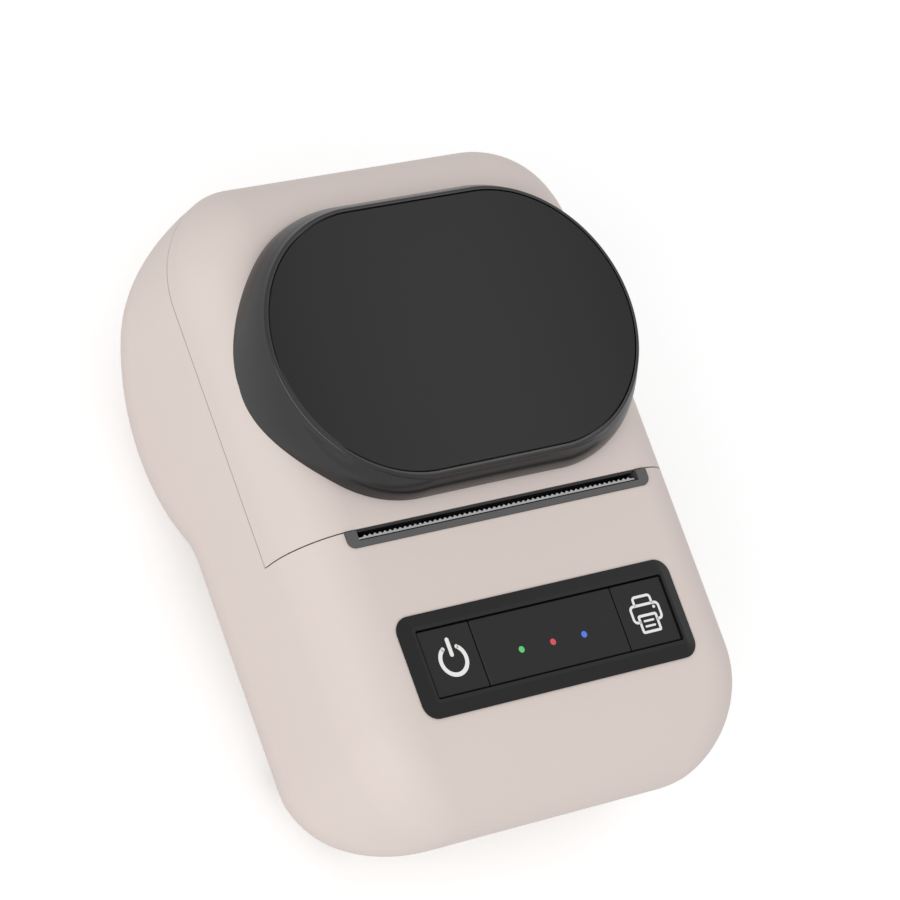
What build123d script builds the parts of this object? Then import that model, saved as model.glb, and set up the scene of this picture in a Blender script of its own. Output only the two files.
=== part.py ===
from build123d import *
import math
import os

os.makedirs("parts", exist_ok=True)

# Thermal label maker with a hinged rear cover. Everything is drawn on the deck: X to the right,
# Y from the nose to the barrel, Z square to the deck, with Z = 0 on its flat top and Y = 0 in the
# middle of the label slot. At the end the whole is tilted to stand on its feet.

# Outer body, seen from the side
body_width = 85.0
wall = 2.0
barrel_y = 34.3
barrel_z = -11.8
barrel_radius = 37.3
underside_z = -42.0
waist_radius = 6.0
nose_y = -53.8
nose_z = -14.3
nose_top_run = 21.6
nose_low_run = 19.5
rear_corner_radius = 15.0
shoulder_radius = 11.0
plan_corner_radius = 21.0
plan_margin = 0.75

# Partings between the two shells and the hinged cover
part_z = -14.0
seam_gap = 0.25
slot_front_y = -1.65
slot_rear_y = 1.7
cover_lip_depth = 5.0
cover_lip_thickness = 1.6

# Cover hinge at the back of the barrel
hinge_radius = 2.3
hinge_relief = 0.9
hinge_end_inset = 9.0
ear_x = 18.0
ear_width = 4.0
hinge_pin_radius = 0.9
hinge_pin_length = 14.0

# Fits
running_clearance = 0.05
side_clearance = 0.15
body_clearance = 0.3

# Raised dome on the cover
dome_y = 32.5
dome_side_inset = 1.5
dome_half_depth = 27.2
dome_height = 6.2
dome_skirt = 4.4
dome_draft = 9.2
dome_wall = 1.8
dome_rim_radius = 0.8
plate_inset = 1.3
plate_thickness = 0.9
plate_groove = 0.15
hatch_margin = 2.4

# Platen roller and the drive train on the left
platen_z = -11.5
platen_radius = 4.6
platen_end_gap = 1.2
platen_shaft_radius = 1.5
nip_gap = 0.12
bush_radius = 3.2
bush_overhang = 0.2
gear_module = 0.5
platen_teeth = 16
idler_a_teeth = 30
idler_b_teeth = 24
pinion_teeth = 12
idler_b_angle = 190.0
pinion_angle = 175.0
gear_stand_off = 0.7
gear_width = 2.8
mesh_gap = 0.06
tooth_backlash = 0.14
post_radius = 1.0
motor_radius = 7.5
motor_length = 16.0
motor_shaft_radius = 0.9
gear_plate_thickness = 1.0

# Print head behind the deck's edge
head_face_y = 0.45
head_thickness = 0.95
head_end_inset = 1.3
head_top_z = -6.2
head_bottom_z = -17.5
sink_thickness = 3.9
sink_overhang = 0.5
sink_bottom_z = -21.2
head_pin_z = -20.0
head_pin_y = -2.5
head_pin_radius = 1.0
spring_thickness = 0.4
spring_end_inset = 8.0

# Sheet frame that carries the head and takes the platen's bushes
drive_room = 12.5
side_plate_thickness = 1.5
frame_front_y = -9.5
frame_rear_y = 11.0
frame_bottom_z = -22.5
frame_top_z = -5.6
frame_sheet = 1.0
cheek_gap = 0.5
cheek_thickness = 1.5
carrier_rear_y = 12.0

# Slot bezel and tear bar
bezel_overhang = 3.5
bezel_lip = 1.15
bezel_rise = 0.3
bezel_end_width = 2.3
bezel_depth = 4.4
bezel_corner_radius = 1.5
lip_thickness = 0.5
lip_drop = 0.35
tear_end_gap = 0.4
tear_thickness = 0.3
tear_drop = 0.32
tooth_pitch = 1.09
tooth_height = 0.4

# Control panel
panel_y = -25.1
panel_width = 60.8
panel_depth = 19.0
panel_rise = 1.3
panel_corner_radius = 3.0
panel_slope_run = 2.4
panel_edge = 0.25
panel_side_rim = 3.0
panel_front_rim = 3.1
key_width = 11.3
key_gap = 0.2
key_recess = 0.3
key_thickness = 2.2
key_chamfer = 0.2
key_travel = 0.5
stem_radius = 1.5
light_radius = 0.6
light_pitch = 7.0
light_offset_y = -1.1
key_board_z = -5.2
key_board_thickness = 1.0
switch_size = 5.0
switch_height = 0.6
switch_button_height = 0.45

# Roll chamber and the two roll guides
rack_room = 5.1
liner_thickness = 1.5
liner_side_gap = 0.4
liner_end_wall = 1.2
liner_front_z = -20.5
guide_thickness = 2.0
guide_margin = 9.7
guide_side_gap = 0.4
guide_top_z = 2.0
guide_hub_radius = 6.0
guide_hub_length = 4.5
guide_travel = 15.0
rack_module = 0.8
guide_pinion_teeth = 10
rack_gap = 0.6
rack_thickness = 2.2
rack_depth = 3.0
rack_overrun = 4.5
leg_width = 3.0
rack_backlash = 0.2

# Electronics
board_z = -22.6
board_thickness = 1.6
usb_from_nose = 21.5
usb_width = 9.0
usb_height = 3.2
board_left_x = -10.0
board_right_x = 25.5
board_step = 1.5
board_from_nose = 9.3
board_rear_y = -11.0
board_edge_gap = 1.4
board_post_radius = 2.0
board_post_inset = 4.5
battery_x = 7.0
battery_y = -17.0
battery_size = (38.0, 32.0, 10.0)
pad_thickness = 1.0

# Screw bosses and feet
boss_front_inset = 12.5
boss_from_nose = 11.8
boss_side_inset = 7.2
boss_right_y = -14.0
boss_left_y = -30.0
boss_radius = 3.4
screw_radius = 1.15
screw_head_radius = 2.1
screw_head_height = 1.4
screw_seat_z = -19.0
screw_length = 10.0
small_screw_radius = 0.8
small_head_radius = 1.5
small_head_height = 1.0
small_screw_length = 6.0
plate_head_height = 0.5
frame_screw_y = 1.0
plate_screw_places = [(-6.5, -18.8), (8.5, -18.3)]
pillar_width = 5.0
rest_tilt = 5.8
foot_radius = 4.0
foot_reach = 1.0
foot_sink = 1.0
front_foot_inset = 16.5
front_foot_y = -30.0
rear_foot_inset = 18.5

# Sizes and places that follow from the sizes above
half_width = body_width / 2
side_plate_x = half_width - drive_room
cheek_x = side_plate_x - cheek_gap - cheek_thickness
bush_inner_x = cheek_x
bush_outer_x = side_plate_x + side_plate_thickness + bush_overhang
platen_half_length = cheek_x - platen_end_gap
head_half_length = platen_half_length - head_end_inset
sink_half_length = head_half_length + sink_overhang
spring_half_span = sink_half_length - spring_end_inset
pillar_inner_x = side_plate_x + side_plate_thickness - pillar_width
frame_screw_place = (side_plate_x - small_head_radius - body_clearance, frame_screw_y)
bezel_half_length = side_plate_x + bezel_overhang
tear_half_length = bezel_half_length - bezel_end_width - tear_end_gap
hinge_half_span = half_width - hinge_end_inset
dome_half_length = half_width - dome_side_inset
well_width = panel_width - 2 * panel_side_rim
well_depth = panel_depth - 2 * panel_front_rim
chamber_radius = barrel_radius - wall - liner_thickness - rack_room
liner_half_length = side_plate_x - liner_side_gap
guide_radius = chamber_radius - guide_margin
guide_x = liner_half_length - liner_end_wall - guide_side_gap - guide_thickness / 2
rack_z = barrel_z - chamber_radius - liner_thickness - rack_gap - rack_thickness / 2
usb_y = nose_y + usb_from_nose
board_front_y = nose_y + board_from_nose
board_edge_x = half_width - wall - board_edge_gap
boss_places = [
    (half_width - boss_front_inset, nose_y + boss_from_nose),
    (boss_front_inset - half_width, nose_y + boss_from_nose),
    (half_width - boss_side_inset, boss_right_y),
    (boss_side_inset - half_width, boss_left_y),
]
front_foot_x = half_width - front_foot_inset
rear_foot_x = half_width - rear_foot_inset
gear_plate_x = side_plate_x + side_plate_thickness
gear_near_x = gear_plate_x + gear_plate_thickness + gear_stand_off
hinge_z = part_z
hinge_y = barrel_y + math.sqrt(barrel_radius**2 - (hinge_z - barrel_z) ** 2) - hinge_radius
platen_y = head_face_y + nip_gap + platen_radius
sink_rear_y = head_face_y - head_thickness
sink_front_y = sink_rear_y - sink_thickness
floor_z = underside_z + wall
rear_y = barrel_y + barrel_radius
key_top_z = panel_rise - key_recess
board_top_z = board_z + board_thickness


# Small building helpers
def along_x(outline, start, end):
    """Extrude a Y-Z outline between two stations on X."""
    return extrude(Plane.YZ.offset(start) * outline, end - start, dir=(1, 0, 0))


def rod(y, z, radius, start, end):
    return along_x(Pos(y, z) * Circle(radius), start, end)


def post(x, y, radius, low, high):
    return extrude(Plane.XY.offset(low) * Pos(x, y) * Circle(radius), high - low)


def block(x0, x1, y0, y1, z0, z1):
    return Pos((x0 + x1) / 2, (y0 + y1) / 2, (z0 + z1) / 2) * Box(x1 - x0, y1 - y0, z1 - z0)


def both_sides(shape):
    return shape + mirror(shape, Plane.YZ)


def polygon(points):
    return make_face(Polyline(*points, close=True))


# Outer body
def side_outline(inset):
    """Side view of the body: deck, rounded rear corner, barrel, waist, underside and nose."""
    rise = -rear_corner_radius - barrel_z
    corner_y = barrel_y + math.sqrt((barrel_radius - rear_corner_radius) ** 2 - rise**2)
    corner_angle = math.atan2(rise, corner_y - barrel_y)
    waist_z = underside_z - waist_radius
    waist_y = barrel_y - math.sqrt((barrel_radius + waist_radius) ** 2 - (waist_z - barrel_z) ** 2)
    waist_angle = math.atan2(waist_z - barrel_z, waist_y - barrel_y)

    def on_circle(y, z, radius, angle):
        return (y + radius * math.cos(angle), z + radius * math.sin(angle))

    radius = barrel_radius - inset
    corner = rear_corner_radius - inset
    waist = waist_radius + inset
    low_y = nose_y + nose_low_run
    high_y = nose_y + nose_top_run
    corner_mid = on_circle(corner_y, -rear_corner_radius, corner, (math.pi / 2 + corner_angle) / 2)
    barrel_start = on_circle(barrel_y, barrel_z, radius, corner_angle)
    barrel_mid = on_circle(barrel_y, barrel_z, radius, (corner_angle + waist_angle) / 2)
    barrel_end = on_circle(barrel_y, barrel_z, radius, waist_angle)
    waist_mid = on_circle(waist_y, waist_z, waist, (waist_angle + math.pi + math.pi / 2) / 2)
    edges = [
        Line((high_y, -inset), (corner_y, -inset)),
        ThreePointArc((corner_y, -inset), corner_mid, barrel_start),
        ThreePointArc(barrel_start, barrel_mid, barrel_end),
        ThreePointArc(barrel_end, waist_mid, (waist_y, underside_z + inset)),
        Line((waist_y, underside_z + inset), (low_y, underside_z + inset)),
        EllipticalCenterArc(
            (low_y, nose_z), nose_low_run - inset, nose_z - underside_z - inset, 180, arc_size=90
        ),
        EllipticalCenterArc((high_y, nose_z), nose_top_run - inset, -nose_z - inset, 90, arc_size=90),
    ]
    return Face(Wire(edges))


def envelope(inset):
    """The whole pebble-shaped body, shrunk by an inset, with one radius round both flanks."""
    half = body_width / 2 - inset
    front = nose_y - plan_margin + inset
    back = rear_y + plan_margin - inset
    slab = along_x(side_outline(inset), -body_width, body_width)
    plan = Pos(0, (front + back) / 2) * RectangleRounded(2 * half, back - front, plan_corner_radius - inset)
    body = slab & extrude(Plane.XY.offset(barrel_z) * plan, 2 * barrel_radius, both=True)

    def on_flank(edge):
        way = edge.tangent_at(0.5)
        straight = edge.geom_type == GeomType.LINE
        return not (straight and (abs(way.X) > 0.999 or abs(way.Z) > 0.999))

    return body.fillet(shoulder_radius - inset, body.edges().filter_by(on_flank))


outer_body = envelope(0)
inner_body = envelope(wall)
body_shell = outer_body - inner_body
far = 2 * body_width


def tilted(shape):
    return Rot(rest_tilt, 0, 0) * shape


tilted_box = tilted(outer_body).bounding_box()
seat_shift = Pos(
    0, -(tilted_box.min.Y + tilted_box.max.Y) / 2, foot_reach - tilted_box.min.Z
)


def seated(shape):
    """From the deck's frame to the frame of the table that the machine stands on."""
    return seat_shift * tilted(shape)


def unseated(shape):
    return Rot(-rest_tilt, 0, 0) * (seat_shift.inverse() * shape)


def row_place(x, y, z):
    """A point of the deck's frame, in the table's frame."""
    point = seated(Vertex(x, y, z)).center()
    return (point.X, point.Y, point.Z)


# Feet, which stand upright on the table
def foot_places():
    barrel_row = row_place(0, barrel_y, barrel_z)
    front_row = row_place(0, front_foot_y, 0)
    places = []
    for side in (-1, 1):
        places.append((side * front_foot_x, front_row[1]))
        places.append((side * rear_foot_x, barrel_row[1]))
    return places


def foot_height(y):
    """How high the body's underside is over the table at this distance, plus the foot's seat."""
    barrel_row_y = row_place(0, barrel_y, barrel_z)[1]
    if abs(y - barrel_row_y) < barrel_radius / 2:
        return foot_reach + foot_sink
    slope = math.tan(math.radians(rest_tilt))
    flat = row_place(0, front_foot_y, underside_z)
    return flat[2] - (flat[1] - y) * slope + foot_sink


def foot_cylinders(extra):
    feet = [
        unseated(Pos(x, y, 0) * extrude(Circle(foot_radius + extra), foot_height(y)))
        for x, y in foot_places()
    ]
    return feet


def rubber_feet():
    feet = [foot.chamfer(0.4, None, foot.edges().group_by(Axis.Z)[0]) for foot in foot_cylinders(0)]
    return Compound(children=feet)


# Shells
def cover_space(gap):
    """The room that the hinged cover and its hinge roll take out of the body."""
    room = block(-far, far, slot_rear_y - gap, far, part_z + seam_gap - gap, far)
    roll = rod(hinge_y, hinge_z, hinge_radius + gap * hinge_relief / seam_gap, -hinge_half_span, hinge_half_span)
    return room + roll


def screw_boss(x, y):
    """Hollow column of the bottom shell that takes a case screw from below."""
    column = post(x, y, boss_radius, underside_z, part_z) & inner_body
    return column


def boss_bores():
    bores = []
    for x, y in boss_places:
        bores.append(post(x, y, screw_head_radius + body_clearance, underside_z - wall, screw_seat_z))
        bores.append(post(x, y, screw_radius + running_clearance, underside_z, part_z + wall))
    return bores


def liner_saddles():
    """Two ribs across the barrel that the chamber liner lies on."""
    offset = chamber_radius * 0.42
    ribs = []
    for side in (-1, 1):
        y = barrel_y + side * offset
        rib = block(-liner_half_length + 1, liner_half_length - 1, y - 0.75, y + 0.75, -far, barrel_z)
        ribs.append((rib & inner_body) - rod(barrel_y, barrel_z, chamber_radius + liner_thickness, -far, far))
    return ribs


def rack_rails():
    """Low ribs under the two racks, and the stud that the guide pinion turns on."""
    reach = guide_x + guide_thickness
    low = rack_z - rack_thickness / 2
    rails = []
    for side in (-1, 1):
        y = barrel_y + side * rack_centre_offset()
        rails.append(block(-reach, reach, y - 0.6, y + 0.6, -far, low - 0.1) & inner_body)
    stud = post(0, barrel_y, guide_stud_radius(), -far, rack_z + rack_thickness / 2 + 0.3)
    collar = post(0, barrel_y, guide_pinion_radius() - rack_module - 0.3, -far, low - running_clearance)
    return rails + [(stud + collar) & inner_body]


def guide_stud_radius():
    return guide_pinion_radius() * 0.35


def guide_pinion_radius():
    return rack_module * guide_pinion_teeth / 2


def rack_centre_offset():
    return guide_pinion_radius() + rack_module + rack_depth / 2


def pillars():
    """Two pillars of the bottom shell that the print mechanism stands on."""
    pillar = block(pillar_inner_x, side_plate_x + side_plate_thickness, -6, 6, -far, frame_bottom_z)
    x, y = frame_screw_place
    pillar -= post(x, y, small_screw_radius, frame_bottom_z - small_screw_length, frame_bottom_z)
    return both_sides(pillar & inner_body)


def board_posts():
    low = board_z - small_screw_length
    posts = [post(x, y, board_post_radius, -far, board_z) & inner_body for x, y in board_post_places()]
    bores = [post(x, y, small_screw_radius, low, board_z) for x, y in board_post_places()]
    return [column - bore for column, bore in zip(posts, bores)]


def board_post_places():
    front = board_front_y + board_post_inset
    return [
        (board_left_x + board_post_inset, front),
        (board_right_x - board_post_inset, front),
        (board_edge_x - 2 * board_post_inset, usb_y + board_post_inset / 1.5),
    ]


def usb_opening(extra):
    outline = Pos(usb_y, board_top_z + usb_height / 2) * RectangleRounded(
        usb_width + 2 * extra, usb_height + 2 * extra, usb_height / 2
    )
    return along_x(outline, body_width / 2 - 3 * wall, body_width)


def hinge_ear():
    """Ear of the bottom shell that holds one hinge pin."""
    x0 = ear_x - ear_width / 2
    x1 = ear_x + ear_width / 2
    foot = block(x0, x1, hinge_y - hinge_radius, hinge_y, hinge_z - 4 * hinge_radius, hinge_z)
    ear = (rod(hinge_y, hinge_z, hinge_radius, x0, x1) + foot) & outer_body
    return ear - rod(hinge_y, hinge_z, hinge_pin_radius + running_clearance, x0, x1)


def bottom_shell():
    shell = body_shell & block(-far, far, -far, far, -far, part_z)
    shell -= cover_space(seam_gap)
    shell += both_sides(hinge_ear())
    for x, y in boss_places:
        shell += screw_boss(x, y)
    for rib in liner_saddles() + rack_rails() + board_posts():
        shell += rib
    shell += pillars()
    for bore in boss_bores():
        shell -= bore
    for foot in foot_cylinders(0.1):
        shell -= foot
    return shell - usb_opening(0.3)


def panel_hole(extra):
    hole = RectangleRounded(panel_width - 2 + 2 * extra, panel_depth - 2 + 2 * extra, panel_corner_radius - 1)
    return extrude(Plane.XY.offset(-far) * Pos(0, panel_y) * hole, 2 * far)


def key_board_places():
    return [(-9.0, panel_y), (9.0, panel_y)]


def top_shell():
    """Front deck: carries the control panel, the slot bezel and the upper halves of the bosses."""
    rear = slot_rear_y - seam_gap
    shell = body_shell & block(-far, far, -far, rear, part_z, far)
    shell -= panel_hole(0.1) & block(-far, far, -far, far, -2 * wall, far)
    shell -= bezel_block(running_clearance, -2 * wall, wall)
    for x, y in boss_places:
        column = post(x, y, boss_radius - 0.6, part_z, 0) & inner_body
        shell += column - post(x, y, screw_radius, part_z, part_z + screw_length)
    return shell


def dome_outline(shrink):
    return Pos(0, dome_y) * SlotOverall(2 * (dome_half_length - shrink), 2 * (dome_half_depth - shrink))


def dome_solid(shrink, drop):
    """Tapered stadium-shaped hill, standing on the deck and reaching down over its shoulders."""
    spread = dome_skirt * math.tan(math.radians(dome_draft))
    base = Plane.XY.offset(-dome_skirt) * dome_outline(shrink - spread)
    return extrude(base, dome_skirt + dome_height - drop, taper=dome_draft)


def dome_shell():
    hill = dome_solid(0, 0)
    rim = hill.edges().group_by(Axis.Z)[-1]
    hill = hill.fillet(dome_rim_radius, rim)
    shell = hill - outer_body - dome_solid(dome_wall, dome_wall)
    seat = Plane.XY.offset(dome_height - plate_thickness) * dome_plate_outline(-plate_groove)
    shell -= extrude(seat, plate_thickness)
    return shell


def dome_plate_outline(shrink):
    top = dome_height * math.tan(math.radians(dome_draft))
    return dome_outline(top + plate_inset + shrink)


def dome_plate():
    plate = extrude(Plane.XY.offset(dome_height - plate_thickness) * dome_plate_outline(0), plate_thickness)
    return plate.chamfer(0.15, None, plate.edges().group_by(Axis.Z)[-1])


def cover_frame():
    """Beige rear half of the deck, with the hatch under the dome and the hinge rolls behind."""
    shell = body_shell & block(-far, far, slot_rear_y, far, part_z + seam_gap, far)
    lip = block(-far, far, slot_rear_y, slot_rear_y + cover_lip_thickness, -cover_lip_depth, 0)
    shell += lip & inner_body
    shell -= extrude(Plane.XY.offset(-2 * wall) * dome_outline(hatch_margin), 4 * wall)
    roll = rod(hinge_y, hinge_z, hinge_radius, -hinge_half_span, hinge_half_span) & outer_body
    shell += roll
    x0 = ear_x - ear_width / 2 - body_clearance
    x1 = ear_x + ear_width / 2 + body_clearance
    shell -= both_sides(rod(hinge_y, hinge_z, hinge_radius + body_clearance, x0, x1))
    shell -= both_sides(hinge_pin(hinge_pin_radius))
    return shell


def hinge_pin(radius):
    half = hinge_pin_length / 2
    return rod(hinge_y, hinge_z, radius, ear_x - half, ear_x + half)


def hinge_pins():
    return both_sides(hinge_pin(hinge_pin_radius))


# Platen, carried by the cover
def platen_carrier():
    """Bracket under the cover's front edge: a top web, a rear wall and two cheeks for the bushes."""
    reach = cheek_x + cheek_thickness
    rear_wall = carrier_rear_y - 1.6
    web = block(-reach, reach, slot_rear_y + cover_lip_thickness, carrier_rear_y, -wall - 1.5, -wall)
    back = block(-reach, reach, rear_wall, carrier_rear_y, platen_z - 2, -wall)
    profile = polygon(
        [
            (slot_rear_y + cover_lip_thickness, -wall),
            (carrier_rear_y, -wall),
            (carrier_rear_y, platen_z - 2),
            (platen_y + 1, platen_z - bush_radius - 1.2),
            (platen_y - 1, platen_z - bush_radius - 1.2),
            (slot_rear_y + 0.3, platen_z - 1),
            (slot_rear_y + 0.3, -cover_lip_depth - 0.5),
            (slot_rear_y + cover_lip_thickness, -cover_lip_depth - 0.5),
        ]
    )
    cheek = along_x(profile, cheek_x, cheek_x + cheek_thickness)
    cheek -= rod(platen_y, platen_z, bush_radius, 0, far)
    return web + back + both_sides(cheek)


def platen_bushes():
    bush = rod(platen_y, platen_z, bush_radius, bush_inner_x, bush_outer_x)
    bush -= rod(platen_y, platen_z, platen_shaft_radius + running_clearance, 0, far)
    return both_sides(bush)


def platen_roller():
    roller = rod(platen_y, platen_z, platen_radius, -platen_half_length, platen_half_length)
    return roller - rod(platen_y, platen_z, platen_shaft_radius, -far, far)


def platen_shaft():
    return rod(platen_y, platen_z, platen_shaft_radius, -gear_near_x - gear_width - 0.4, bush_outer_x + 0.4)


# Gears
def gear_outline(teeth, module, turn, backlash):
    """Gear with straight flanks; one tooth points along the first axis, turned by an angle."""
    pitch_radius = teeth * module / 2
    outer = pitch_radius + 0.85 * module
    root = pitch_radius - 1.1 * module
    half_pitch_tooth = (math.pi * module / 2 - backlash) / 2
    slope = math.tan(math.radians(22))
    corners = []
    for radius in (root, outer):
        half = half_pitch_tooth - (radius - pitch_radius) * slope
        corners.append((radius, half / radius))
    points = []
    for tooth in range(teeth):
        centre = math.radians(turn) + tooth * 2 * math.pi / teeth
        for radius, half in (corners[0], corners[1]):
            points.append((radius * math.cos(centre - half), radius * math.sin(centre - half)))
        for radius, half in (corners[1], corners[0]):
            points.append((radius * math.cos(centre + half), radius * math.sin(centre + half)))
    return polygon(points)


def meshed_turn(turn, teeth, next_teeth, direction):
    """Turn of the next gear so that its gaps meet this gear's teeth along a direction."""
    offset = (turn - direction) % (360 / teeth)
    return direction + 180 - offset * teeth / next_teeth + 180 / next_teeth


def beside(place, teeth, next_teeth, direction):
    distance = gear_module * (teeth + next_teeth) / 2 + mesh_gap
    angle = math.radians(direction)
    return (place[0] + distance * math.cos(angle), place[1] + distance * math.sin(angle))


platen_place = (platen_y, platen_z)
idler_a_place = beside(platen_place, platen_teeth, idler_a_teeth, 270)
idler_b_place = beside(idler_a_place, idler_a_teeth, idler_b_teeth, idler_b_angle)
pinion_place = beside(idler_b_place, idler_b_teeth, pinion_teeth, pinion_angle)
idler_a_turn = meshed_turn(0, platen_teeth, idler_a_teeth, 270)
idler_b_turn = meshed_turn(idler_a_turn, idler_a_teeth, idler_b_teeth, idler_b_angle)
pinion_turn = meshed_turn(idler_b_turn, idler_b_teeth, pinion_teeth, pinion_angle)


def gear(place, teeth, turn, bore):
    disc = Pos(*place) * (gear_outline(teeth, gear_module, turn, tooth_backlash) - Circle(bore))
    return along_x(disc, -gear_near_x - gear_width, -gear_near_x)


def hub(place, radius, bore):
    ring = Pos(*place) * (Circle(radius) - Circle(bore))
    return along_x(ring, -gear_near_x, -gear_plate_x - gear_plate_thickness - 0.1)


def platen_gear():
    return gear(platen_place, platen_teeth, 0, platen_shaft_radius)


def idler_gear_a():
    bore = post_radius + running_clearance
    return gear(idler_a_place, idler_a_teeth, idler_a_turn, bore) + hub(idler_a_place, 2.5, bore)


def idler_gear_b():
    bore = post_radius + running_clearance
    return gear(idler_b_place, idler_b_teeth, idler_b_turn, bore) + hub(idler_b_place, 2.5, bore)


def motor_pinion():
    return gear(pinion_place, pinion_teeth, pinion_turn, motor_shaft_radius)


def motor_shaft():
    inside = -gear_plate_x + 4
    return rod(*pinion_place, motor_shaft_radius, -gear_near_x - gear_width - 0.2, inside)


def stepper_motor():
    """Round can with a bearing boss in front and a stepped end cap behind."""
    face = -gear_plate_x
    can = rod(*pinion_place, motor_radius, face, face + motor_length)
    can = can.chamfer(0.5, None, can.edges().filter_by(GeomType.CIRCLE))
    boss = rod(*pinion_place, 2.5, face - gear_plate_thickness, face)
    high = pinion_place[1] + motor_radius
    lug = block(face, face + 0.8, pinion_place[0] - 3, pinion_place[0] + 3, high - 1, high + 2.5)
    bore = rod(*pinion_place, motor_shaft_radius + running_clearance, -far, face + 4.5)
    return can + boss + lug - bore


def gear_plate():
    """Steel plate on the left that carries the motor and the idler posts."""
    can = motor_radius
    wheel_a = gear_module * idler_a_teeth / 2
    wheel_b = gear_module * idler_b_teeth / 2
    corners = [
        (pinion_place[0] - 1.1 * can, pinion_place[1] - 0.65 * can),
        (pinion_place[0] - 1.1 * can, pinion_place[1] + 0.95 * can),
        (pinion_place[0] - 0.55 * can, pinion_place[1] + 1.35 * can),
        (pinion_place[0] + 0.65 * can, pinion_place[1] + 1.35 * can),
        (idler_b_place[0], idler_b_place[1] + 1.35 * wheel_b),
        (idler_a_place[0] - 1.05 * wheel_a, idler_a_place[1] + 0.9 * wheel_a),
        (idler_a_place[0] + 0.65 * wheel_a, idler_a_place[1] + 0.9 * wheel_a),
        (idler_a_place[0] + 0.8 * wheel_a, idler_a_place[1] - 0.55 * wheel_a),
        (idler_b_place[0], idler_b_place[1] - 0.65 * wheel_b),
        (pinion_place[0] + 0.25 * can, pinion_place[1] - 1.2 * can),
    ]
    plate = along_x(polygon(corners), -gear_plate_x - gear_plate_thickness, -gear_plate_x)
    plate -= rod(*pinion_place, 2.5, -far, far)
    for place in (idler_a_place, idler_b_place):
        plate -= rod(*place, post_radius, -far, far)
    for place in plate_screw_places:
        plate -= rod(*place, small_screw_radius, -far, far)
    return plate


def gear_posts():
    ends = (-gear_near_x - gear_width - 0.6, -gear_plate_x)
    return rod(*idler_a_place, post_radius, *ends) + rod(*idler_b_place, post_radius, *ends)


# Print head and its frame
def print_head():
    return block(-head_half_length, head_half_length, sink_rear_y, head_face_y, head_bottom_z, head_top_z)


def head_sink():
    """Aluminium bar behind the head, with grooves along its back and the pivot at its foot."""
    bar = block(-sink_half_length, sink_half_length, sink_front_y, sink_rear_y, sink_bottom_z, head_top_z)
    for groove_z in (head_top_z - 1.6, head_top_z - 9.0):
        bar -= block(-far, far, sink_front_y, sink_front_y + 1.2, groove_z - 0.5, groove_z + 0.5)
    return bar - rod(head_pin_y, head_pin_z, head_pin_radius, -far, far)


def head_pin():
    reach = side_plate_x + side_plate_thickness
    return rod(head_pin_y, head_pin_z, head_pin_radius, -reach, reach)


def pressure_spring():
    """Bowed leaf between the frame's cross plate and the back of the head bar."""
    tip_y = sink_front_y - body_clearance
    back_y = frame_front_y + frame_sheet
    inner = ThreePointArc((-spring_half_span, tip_y), (0, back_y + spring_thickness), (spring_half_span, tip_y))
    end = Line((spring_half_span, tip_y), (spring_half_span, tip_y - spring_thickness))
    outer = ThreePointArc(
        (spring_half_span, tip_y - spring_thickness), (0, back_y), (-spring_half_span, tip_y - spring_thickness)
    )
    start = Line((-spring_half_span, tip_y - spring_thickness), (-spring_half_span, tip_y))
    leaf = Face(Wire([inner, end, outer, start]))
    return extrude(Plane.XY.offset(head_top_z - 8.5) * leaf, 6.0, dir=(0, 0, 1))


def mech_frame():
    """Bent sheet: a cross plate in front and two side plates, notched for the platen's bushes."""
    side = polygon(
        [
            (frame_front_y, frame_bottom_z),
            (frame_rear_y, frame_bottom_z),
            (frame_rear_y, frame_top_z - 4),
            (platen_y, frame_top_z - 4),
            (platen_y, frame_top_z),
            (slot_front_y, frame_top_z),
            (frame_front_y, frame_top_z - 4),
        ]
    )
    notch = Pos(platen_y, platen_z) * Circle(bush_radius + 0.12)
    notch += Pos(platen_y, platen_z + far / 2) * Rectangle(2 * bush_radius + 0.24, far)
    side -= notch
    side -= Pos(head_pin_y, head_pin_z) * Circle(head_pin_radius + running_clearance)
    plate = along_x(side, side_plate_x, side_plate_x + side_plate_thickness)
    cross = block(
        -side_plate_x, side_plate_x, frame_front_y, frame_front_y + frame_sheet, frame_bottom_z, frame_top_z - 4
    )
    flange = block(
        -side_plate_x, side_plate_x, frame_front_y, frame_front_y + 3, frame_bottom_z, frame_bottom_z + frame_sheet
    )
    x, y = frame_screw_place
    tab = block(pillar_inner_x, side_plate_x, frame_front_y, y + 3, frame_bottom_z, frame_bottom_z + frame_sheet)
    tab -= post(x, y, small_screw_radius + 0.1, -far, 0)
    for place in plate_screw_places:
        plate -= rod(*place, small_screw_radius, -far, far)
    return plate + mirror(plate, Plane.YZ) + both_sides(tab) + cross + flange


# Slot bezel and tear bar
def bezel_block(extra, low, high):
    """Outline of the slot's surround, rounded at its front corners, from one height to another."""
    half = bezel_half_length + extra
    front = slot_front_y - extra
    solid = block(-half, half, front, slot_rear_y - seam_gap + extra, low, high)
    corners = solid.edges().filter_by(Axis.Z).group_by(Axis.Y)[0]
    return solid.fillet(bezel_corner_radius + extra, corners)


def slot_lip():
    """Dark strip on the cover's front edge that closes the slot from behind."""
    half = bezel_half_length - bezel_end_width - body_clearance
    top = -lip_drop
    return block(-half, half, slot_rear_y - lip_thickness, slot_rear_y, -cover_lip_depth, top)


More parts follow.
